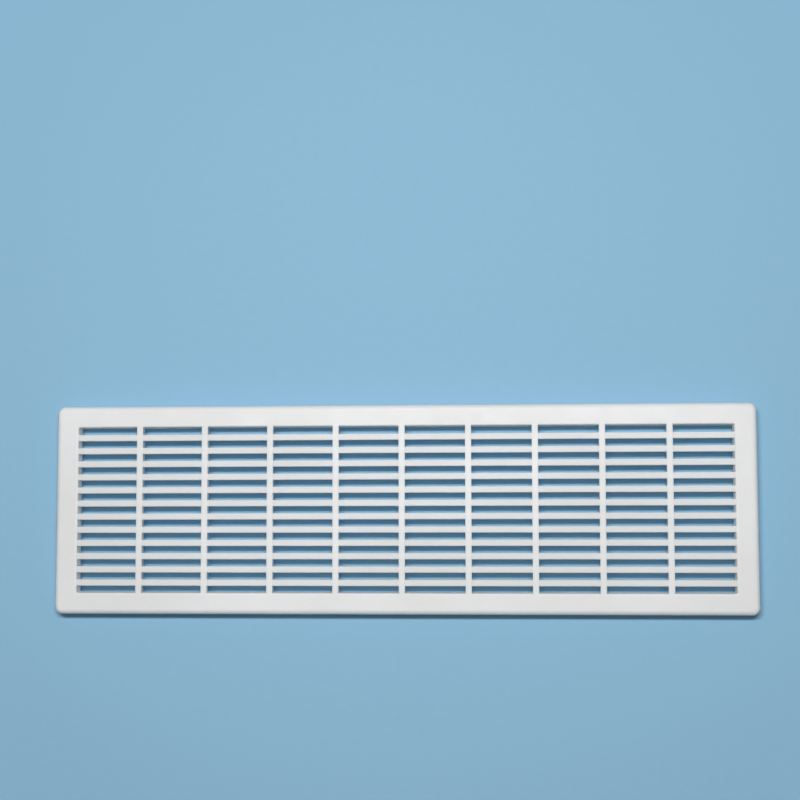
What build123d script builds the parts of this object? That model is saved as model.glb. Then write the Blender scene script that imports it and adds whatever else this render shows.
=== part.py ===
from build123d import *
import os

# A white louvre grille for a vent, moulded in one shot as one piece: a flat face flange, a
# rectangular spigot behind it, and a grid of raked slats and upright ribs across the window.
# It lies face up. +Z looks out of the face, +X runs along the length, and +Y is up once it is
# fitted. The origin is under the middle of the face, on the plane of the spigot's rear edge.

# Face flange
face_length = 228.6
face_width = 68.0
face_corner_radius = 2.4
flange_thickness = 2.2
face_edge_round = 1.6
end_overhang = 4.65         # flange beyond the spigot, at the two short ends
side_overhang = 4.25        # flange beyond the spigot, along the two long sides

# Spigot, the collar that goes into the cut-out
spigot_depth = 5.0
spigot_corner_radius = 1.8
spigot_edge_round = 0.4
wall_at_root = 2.65
wall_at_rear = 2.1

# Grid
slot_rows = 13
slot_columns = 10
grid_depth = 3.2
window_corner_radius = 0.5
window_edge_round = 0.5
window_draft = 0.3          # how far each wall of the window leans in by the back of the grid

# Slats: each leans a little, so that its front edge is lower than its back edge and sheds rain
slat_front_thickness = 2.1
slat_back_thickness = 1.7
slat_rake = 0.25            # drop from the back edge to the front edge
slat_edge_lean = 0.2        # how far the lower corner of an edge stands behind the upper one
slat_edge_chamfer = 0.2
slat_recess = 0.1           # front edges of the slats behind the face

# Ribs, drafted so that the moulding leaves its tool
rib_front_width = 2.0
rib_back_width = 1.8

# Places worked out from the sizes above
spigot_length = face_length - 2 * end_overhang
spigot_width = face_width - 2 * side_overhang
window_length = spigot_length - 2 * wall_at_root
window_width = spigot_width - 2 * wall_at_root
rear_mouth_length = spigot_length - 2 * wall_at_rear
rear_mouth_width = spigot_width - 2 * wall_at_rear
face_z = spigot_depth + flange_thickness
grid_back_z = face_z - grid_depth
throat_length = window_length - 2 * window_draft
throat_width = window_width - 2 * window_draft
slat_field_width = (window_width + throat_width) / 2    # the window's width halfway down
slat_pitch = (slat_field_width + slat_front_thickness) / slot_rows
rib_pitch = (window_length + rib_front_width) / slot_columns
slat_count = slot_rows - 1
rib_count = slot_columns - 1

# Slats and ribs run on into the walls of the window by half a wall
slat_half_run = window_length / 2 + wall_at_root / 2
rib_half_run = window_width / 2 + wall_at_root / 2


with BuildPart() as louvre_grille:
    # Flange, with the round edge that runs all round the face
    with BuildSketch(Plane.XY.offset(spigot_depth)):
        RectangleRounded(face_length, face_width, face_corner_radius)
    extrude(amount=flange_thickness)
    face_outline = louvre_grille.faces().sort_by(Axis.Z)[-1].edges()
    fillet(face_outline, radius=face_edge_round)

    # Spigot, still solid, with its rear edge eased so that it enters the cut-out
    with BuildSketch(Plane.XY):
        RectangleRounded(spigot_length, spigot_width, spigot_corner_radius)
    extrude(amount=spigot_depth)
    rear_outline = louvre_grille.faces().sort_by(Axis.Z)[0].edges()
    fillet(rear_outline, radius=spigot_edge_round)

    # Window through the face, drafted narrower down to the back of the grid
    with BuildSketch(Plane.XY.offset(grid_back_z)):
        RectangleRounded(throat_length, throat_width, window_corner_radius)
    with BuildSketch(Plane.XY.offset(face_z)):
        RectangleRounded(window_length, window_width, window_corner_radius)
    loft(mode=Mode.SUBTRACT)
    window_rim = louvre_grille.faces().sort_by(Axis.Z)[-1].inner_wires()[0].edges()
    fillet(window_rim, radius=window_edge_round)

    # Hollow behind the grid, drafted wider towards the spigot's rear edge
    with BuildSketch(Plane.XY.offset(grid_back_z)):
        RectangleRounded(throat_length, throat_width, window_corner_radius)
    with BuildSketch(Plane.XY):
        RectangleRounded(rear_mouth_length, rear_mouth_width, window_corner_radius)
    loft(mode=Mode.SUBTRACT)

    # Upright ribs, flush with the face
    with BuildSketch(Plane.XZ):
        with GridLocations(rib_pitch, rib_pitch, rib_count, 1):
            Polygon(
                (-rib_front_width / 2, face_z),
                (-rib_back_width / 2, grid_back_z),
                (rib_back_width / 2, grid_back_z),
                (rib_front_width / 2, face_z),
                align=None,
            )
    extrude(amount=rib_half_run, both=True)

    # Slats, one leaning section repeated up the window
    slat_front_z = face_z - slat_recess
    front_centre = -slat_rake / 2
    back_centre = slat_rake / 2
    with BuildSketch(Plane.YZ) as slat_sections:
        with GridLocations(slat_pitch, slat_pitch, slat_count, 1):
            Polygon(
                (front_centre + slat_front_thickness / 2, slat_front_z),
                (front_centre - slat_front_thickness / 2, slat_front_z - slat_edge_lean),
                (back_centre - slat_back_thickness / 2, grid_back_z),
                (back_centre + slat_back_thickness / 2, grid_back_z + slat_edge_lean),
                align=None,
            )
        chamfer(slat_sections.vertices(), length=slat_edge_chamfer)
    extrude(amount=slat_half_run, both=True)

louvre_grille.part.label = "louvre_grille"
os.makedirs("parts", exist_ok=True)
export_step(louvre_grille.part, "parts/louvre_grille.step")

size = louvre_grille.part.bounding_box().size
print("overall", round(size.X, 2), round(size.Y, 2), round(size.Z, 2))
print("solids", len(louvre_grille.part.solids()), "volume mm3", round(louvre_grille.part.volume))
print("slat pitch", round(slat_pitch, 3), "slot", round(slat_pitch - slat_front_thickness, 3))
print("rib pitch", round(rib_pitch, 3), "window", round(window_length, 2), round(window_width, 2))
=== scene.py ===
# %% [markdown]
# This lesson dresses and lights a white louvre grille, the kind that covers a vent opening in
# furniture, a boat or a caravan. The real thing is one injection moulding: a flat flange, a
# shallow spigot behind it, and a grid of raked slats and upright ribs.
# The shape is complete in the CAD model, so nothing is modelled here. A copy built from curves or
# a displaced sheet could only drift away from the true sizes. The work of this file is the
# plastic, the sheet that the grille lies on, the light and the camera.

# %% Load the grille
import bpy
from mathutils import Matrix, Vector


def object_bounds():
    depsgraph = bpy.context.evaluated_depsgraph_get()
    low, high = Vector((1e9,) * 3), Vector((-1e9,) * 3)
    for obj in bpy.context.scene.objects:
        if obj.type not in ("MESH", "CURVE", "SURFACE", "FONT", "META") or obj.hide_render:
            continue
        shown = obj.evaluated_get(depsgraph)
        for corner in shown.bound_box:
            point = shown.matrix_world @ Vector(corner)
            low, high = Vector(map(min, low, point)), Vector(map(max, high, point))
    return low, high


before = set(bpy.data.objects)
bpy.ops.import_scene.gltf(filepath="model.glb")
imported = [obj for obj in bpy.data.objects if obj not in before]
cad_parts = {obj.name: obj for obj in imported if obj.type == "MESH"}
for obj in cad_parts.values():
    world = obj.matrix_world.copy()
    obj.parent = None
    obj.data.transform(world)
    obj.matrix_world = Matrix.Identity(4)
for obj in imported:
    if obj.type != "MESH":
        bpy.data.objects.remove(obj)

cad_low, cad_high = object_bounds()
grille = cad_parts["louvre_grille"]
for axis, low, high in zip("XYZ", cad_low, cad_high):
    print(f"{axis} runs from {low * 1000:.1f} to {high * 1000:.1f} mm")

# %% [markdown]
# A colour picked on a screen is written as sRGB hex, but a shader adds up light, so it needs
# linear values. Blender's own colour fields convert silently. In a script it takes one function.

# %% Turn a written colour into linear light
def linear(hex_colour):
    """The linear RGBA of a colour such as #E8E8E4."""
    channels = [int(hex_colour[start:start + 2], 16) / 255 for start in (1, 3, 5)]
    light = [c / 12.92 if c <= 0.04045 else ((c + 0.055) / 1.055) ** 2.4 for c in channels]
    return (*light, 1.0)


print("mid grey in linear light:", round(linear("#808080")[0], 3))

# %% [markdown]
# Materials here are node graphs. Building one by hand takes three lines for each node: make it,
# set it, link it. One helper does all three, whatever the node is, so that a material reads as a
# list of its layers.

# %% Add a node with its settings and links
def add_node(tree, kind, inputs=None, **settings):
    """A new node. Each input, by name or number, is given a value or the socket that feeds it."""
    node = tree.nodes.new(kind)
    for name, value in settings.items():
        setattr(node, name, value)
    for name, value in (inputs or {}).items():
        if isinstance(value, bpy.types.NodeSocket):
            tree.links.new(value, node.inputs[name])
        else:
            node.inputs[name].default_value = value
    return node


def new_material(name):
    """A material with an empty graph, and the output that its shader goes into."""
    material = bpy.data.materials.new(name)
    material.use_nodes = True
    material.node_tree.nodes.clear()
    return material, add_node(material.node_tree, "ShaderNodeOutputMaterial")


# %% [markdown]
# A noise texture repeats about once per unit at scale 1, and the units are metres. Giving each
# pattern its real size in millimetres keeps the grain honest: the same number could be checked
# on the part with a loupe.

# %% Scale of a pattern from its size in millimetres
def scale_for(size_mm):
    """The scale at which a noise texture has features of this size."""
    return 1000 / size_mm


print("a pattern 1 mm across has scale", scale_for(1))

# %% [markdown]
# The grille is white ABS, injection-moulded in a tool with a fine satin finish. What the eye
# gets from that is a soft broad sheen without a clear reflection, a clean and nearly neutral
# white, and thin slats that let a little light through, so that their shaded sides glow.
# The white is never one flat value. Pigment and cooling leave clouds a few centimetres across
# that are only just visible, and polish on the tool varies over a few millimetres.

# %% The white and its clouds
plastic, plastic_output = new_material("satin_moulded_white_abs")
layers = plastic.node_tree
place = add_node(layers, "ShaderNodeTexCoord").outputs["Object"]

pigment_cloud_mm = 42
lighter_white, darker_white = "#EEEEEE", "#E9E9E8"
clouds = add_node(
    layers, "ShaderNodeTexNoise",
    {"Vector": place, "Scale": scale_for(pigment_cloud_mm), "Detail": 2.0, "Roughness": 0.45},
)
cloud_weight = add_node(
    layers, "ShaderNodeMapRange",
    {"Value": clouds.outputs["Fac"], "From Min": 0.35, "From Max": 0.65},
)
white = add_node(
    layers, "ShaderNodeMix",
    {"Factor": cloud_weight.outputs["Result"]}, data_type="RGBA",
)
white.inputs[6].default_value = linear(lighter_white)
white.inputs[7].default_value = linear(darker_white)
print("clouds", pigment_cloud_mm, "mm across, from", lighter_white, "to", darker_white)

# %% [markdown]
# The satin comes from spark erosion of the tool, a grain of about 0.05 mm. A pixel of the
# picture is 0.33 mm, so the grain is drawn 0.8 mm across, and very shallow, or it would not
# show at all. Larger and softer are the shallow waves that shrinkage leaves over the flange,
# about 14 mm from crest to crest. Both only tilt the surface, so a bump is enough: displaced
# geometry would change the size of the part.

# %% Grain and shrinkage waves
shrinkage_wave_mm = 14
wave_height = 0.0003    # metres, from the noise's lowest value to its highest
drawn_grain_mm = 0.8
grain_height = 0.00006
waves = add_node(
    layers, "ShaderNodeTexNoise",
    {"Vector": place, "Scale": scale_for(shrinkage_wave_mm), "Detail": 1.0},
)
wave_bump = add_node(
    layers, "ShaderNodeBump",
    {"Height": waves.outputs["Fac"], "Strength": 1.0, "Distance": wave_height},
)
grain = add_node(
    layers, "ShaderNodeTexNoise",
    {"Vector": place, "Scale": scale_for(drawn_grain_mm), "Detail": 2.0, "Roughness": 0.6},
)
grain_bump = add_node(
    layers, "ShaderNodeBump",
    {
        "Height": grain.outputs["Fac"], "Strength": 0.8, "Distance": grain_height,
        "Normal": wave_bump.outputs["Normal"],
    },
)
print("waves", shrinkage_wave_mm, "mm, grain drawn at", drawn_grain_mm, "mm")

# %% [markdown]
# Roughness carries the satin. Moulded ABS with this finish sits between 0.43 and 0.52, a little
# smoother where the melt pressed hardest against the tool and a little rougher elsewhere.
# The refractive index of ABS is 1.54. Subsurface scattering lets light travel about a millimetre
# inside the white, which is what softens the shaded sides of the slats.

# %% Sheen, scattering and the shader itself
polish_patch_mm = 8
smoothest, roughest = 0.43, 0.52
refractive_index = 1.54
scatter_depth = 0.0012      # metres for red light, and a little less for green and blue
polish = add_node(
    layers, "ShaderNodeTexNoise",
    {"Vector": place, "Scale": scale_for(polish_patch_mm), "Detail": 3.0},
)
roughness = add_node(
    layers, "ShaderNodeMapRange",
    {
        "Value": polish.outputs["Fac"], "From Min": 0.3, "From Max": 0.7,
        "To Min": smoothest, "To Max": roughest,
    },
)
satin = add_node(
    layers, "ShaderNodeBsdfPrincipled",
    {
        "Base Color": white.outputs[2], "Roughness": roughness.outputs["Result"],
        "Normal": grain_bump.outputs["Normal"], "IOR": refractive_index,
        "Subsurface Weight": 0.8, "Subsurface Scale": scatter_depth,
        "Subsurface Radius": (1.0, 0.9, 0.8),
    },
)
layers.links.new(satin.outputs["BSDF"], plastic_output.inputs["Surface"])

for slot in grille.material_slots:
    slot.material = plastic
print("the grille has", len(grille.material_slots), "slot of", plastic.name)

# %% [markdown]
# The grille lies face up on a plain sheet of pale blue card. White on white would lose the
# outline, and the blue is what gives the slots their cool tint. Card is matt, with a faint
# mottle of fibres, and a large flat plane is all the shape that it needs.

# %% The blue card under it
card, card_output = new_material("matt_pale_blue_card")
fibres = card.node_tree
fibre_mottle_mm = 2.5
darker_blue, lighter_blue = "#94C2DF", "#99C6E1"
mottle = add_node(
    fibres, "ShaderNodeTexNoise",
    {
        "Vector": add_node(fibres, "ShaderNodeTexCoord").outputs["Object"],
        "Scale": scale_for(fibre_mottle_mm), "Detail": 3.0,
    },
)
card_blue = add_node(
    fibres, "ShaderNodeMix", {"Factor": mottle.outputs["Fac"]}, data_type="RGBA",
)
card_blue.inputs[6].default_value = linear(darker_blue)
card_blue.inputs[7].default_value = linear(lighter_blue)
matt = add_node(
    fibres, "ShaderNodeBsdfPrincipled",
    {"Base Color": card_blue.outputs[2], "Roughness": 0.9, "Specular IOR Level": 0.2},
)
print("card mottle", fibre_mottle_mm, "mm, from", darker_blue, "to", lighter_blue)

# %% [markdown]
# The lamps are near, so far from the grille the card would fall into the dark, and low views
# would get a gloomy horizon. More light would cure that and burn out the white plastic. Instead
# the far card is painted light. The camera, and only the camera, sees it glow in a steady colour
# that sets in a little beyond the grille and pales into the sky with distance. It lights nothing.

# %% Paint a pale glow on the far card for the camera
far_sets_in, far_is_full, far_is_sky = 0.13, 0.25, 1.5      # metres from the grille's middle
painted_far_blue, sky_colour = "#8AB6D1", "#DCE8EF"
card_place = add_node(fibres, "ShaderNodeTexCoord").outputs["Object"]
distance = add_node(fibres, "ShaderNodeVectorMath", {0: card_place}, operation="LENGTH")
far_share = add_node(
    fibres, "ShaderNodeMapRange",
    {"Value": distance.outputs["Value"], "From Min": 0.0, "From Max": far_is_sky},
)
painted_far_light = add_node(fibres, "ShaderNodeValToRGB", {"Fac": far_share.outputs["Result"]})
far_stops = painted_far_light.color_ramp.elements
far_stops[0].position, far_stops[0].color = 0.15, linear(painted_far_blue)
far_stops[1].position, far_stops[1].color = 1.00, linear(sky_colour)
# Painted light: the far card glows in this colour for the camera instead of being lit by the
# lamps.
glow = add_node(fibres, "ShaderNodeEmission", {"Color": painted_far_light.outputs["Color"]})
far_weight = add_node(
    fibres, "ShaderNodeMapRange",
    {"Value": distance.outputs["Value"], "From Min": far_sets_in, "From Max": far_is_full},
    interpolation_type="SMOOTHSTEP",
)
card_ray = add_node(fibres, "ShaderNodeLightPath")
seen_far = add_node(
    fibres, "ShaderNodeMath",
    {0: far_weight.outputs["Result"], 1: card_ray.outputs["Is Camera Ray"]},
    operation="MULTIPLY",
)
card_mix = add_node(
    fibres, "ShaderNodeMixShader",
    {"Fac": seen_far.outputs["Value"], 1: matt.outputs["BSDF"], 2: glow.outputs["Emission"]},
)
fibres.links.new(card_mix.outputs["Shader"], card_output.inputs["Surface"])
print("far colour full from", far_is_full, "m, and pale as the sky from", far_is_sky, "m")

# %% [markdown]
# The card lies at height zero, where the spigot's rear edge rests. It is scenery and no part of
# the grille.

# %% Lay the card
card_side = 6.0
bpy.ops.mesh.primitive_plane_add(size=card_side, location=(0, 0, 0))
sheet = bpy.context.object
sheet.name = "blue_card"
sheet.data.materials.append(card)
print("the card is", tuple(round(side, 1) for side in sheet.dimensions[:2]), "m")

# %% [markdown]
# Two soft boxes light the grille. The key is a strip box, long and narrow, that hangs beyond the
# grille's upper long side. Across the slats it is narrow, so each slat throws a clear shadow into
# the slot below it and the flange throws one along its lower edge. Along the slats it is long, so
# the ribs and the end walls of the window are lit from both sides. It hangs near, at 0.6 m, so its
# light leans more at the lower slats than at the upper ones. That makes up for the camera, which
# sees further into the shadows of the upper slats, so that the dark band in every slot comes out
# equally wide.
# A square, weaker box straight above looks down into the slots, and a pale sky fills the rest.
# A sun lamp would be simpler, but it leans the same everywhere and has one hardness all round.

# %% Soft boxes
def soft_box(name, place, length, width, watts):
    """An area lamp of the given length and width in metres, facing the grille."""
    data = bpy.data.lights.new(name, "AREA")
    data.shape = "RECTANGLE"
    data.size = length
    data.size_y = width
    data.energy = watts
    box = bpy.data.objects.new(name, data)
    bpy.context.collection.objects.link(box)
    box.location = place
    box.rotation_mode = "QUATERNION"
    box.rotation_quaternion = (-Vector(place)).to_track_quat("-Z", "Y")
    print(name, length, "x", width, "m,", round(Vector(place).length, 2), "m away,", watts, "W")


soft_box("key_box", (0.0, 0.147, 0.60), length=0.30, width=0.06, watts=2.82)
soft_box("top_box", (0.0, 0.05, 1.50), length=0.60, width=0.60, watts=2.2)

# %% [markdown]
# The sky is nearly white, and only strong enough to open the shadows. The camera sees it
# brighter than it lights, through the light path node, so that low views keep a pale background.
# Glossy rays see that pale room too. A satin face mirrors what stands round it, most of all at a
# low angle, and a dim room would turn the white plastic grey there.

# %% Fill from a pale room
sky = bpy.data.worlds.new("pale_room")
bpy.context.scene.world = sky
sky.use_nodes = True
room = sky.node_tree
room.nodes.clear()
fill_strength = 0.055
fill = add_node(
    room, "ShaderNodeBackground", {"Color": linear("#F4F7FA"), "Strength": fill_strength},
)
seen = add_node(room, "ShaderNodeBackground", {"Color": linear(sky_colour), "Strength": 1.0})
sky_ray = add_node(room, "ShaderNodeLightPath")
seen_or_mirrored = add_node(
    room, "ShaderNodeMath",
    {0: sky_ray.outputs["Is Camera Ray"], 1: sky_ray.outputs["Is Glossy Ray"]},
    operation="MAXIMUM",
)
choice = add_node(
    room, "ShaderNodeMixShader",
    {
        "Fac": seen_or_mirrored.outputs["Value"],
        1: fill.outputs["Background"], 2: seen.outputs["Background"],
    },
)
add_node(room, "ShaderNodeOutputWorld", {"Surface": choice.outputs["Shader"]})
bpy.context.scene.view_settings.view_transform = "Standard"
print("fill strength", fill_strength, "against 1.0 as seen")

# %% [markdown]
# The camera looks almost straight down from about half a metre, from above a point a little to
# the right of the grille's middle, and it is turned slightly towards the upper side. A flat top
# view without perspective would be simpler, but it would hide what gives the grid its depth: the
# inner side of the window's left wall, and the sides of the ribs away from the middle.
# The camera's axes are built from the direction that it looks in and its own upward direction.

# %% Camera
camera_place = Vector((0.03359, -0.00345, 0.49371))
looks_along = Vector((-0.06968, 0.07965, -0.99439)).normalized()
upward = Vector((0.00711, 0.99682, 0.07934))
rightward = looks_along.cross(upward).normalized()
upward = rightward.cross(looks_along).normalized()

camera_data = bpy.data.cameras.new("camera")
camera_data.sensor_width = 36.0
camera_data.lens = 67.5
camera_data.clip_start = 0.05
camera_data.clip_end = 20.0
camera = bpy.data.objects.new("camera", camera_data)
bpy.context.collection.objects.link(camera)
turn = Matrix((rightward, upward, -looks_along)).transposed()
camera.matrix_world = Matrix.Translation(camera_place) @ turn.to_4x4()
bpy.context.scene.camera = camera
print("camera", round(camera_place.z * 1000), "mm above the card, lens", camera_data.lens, "mm")
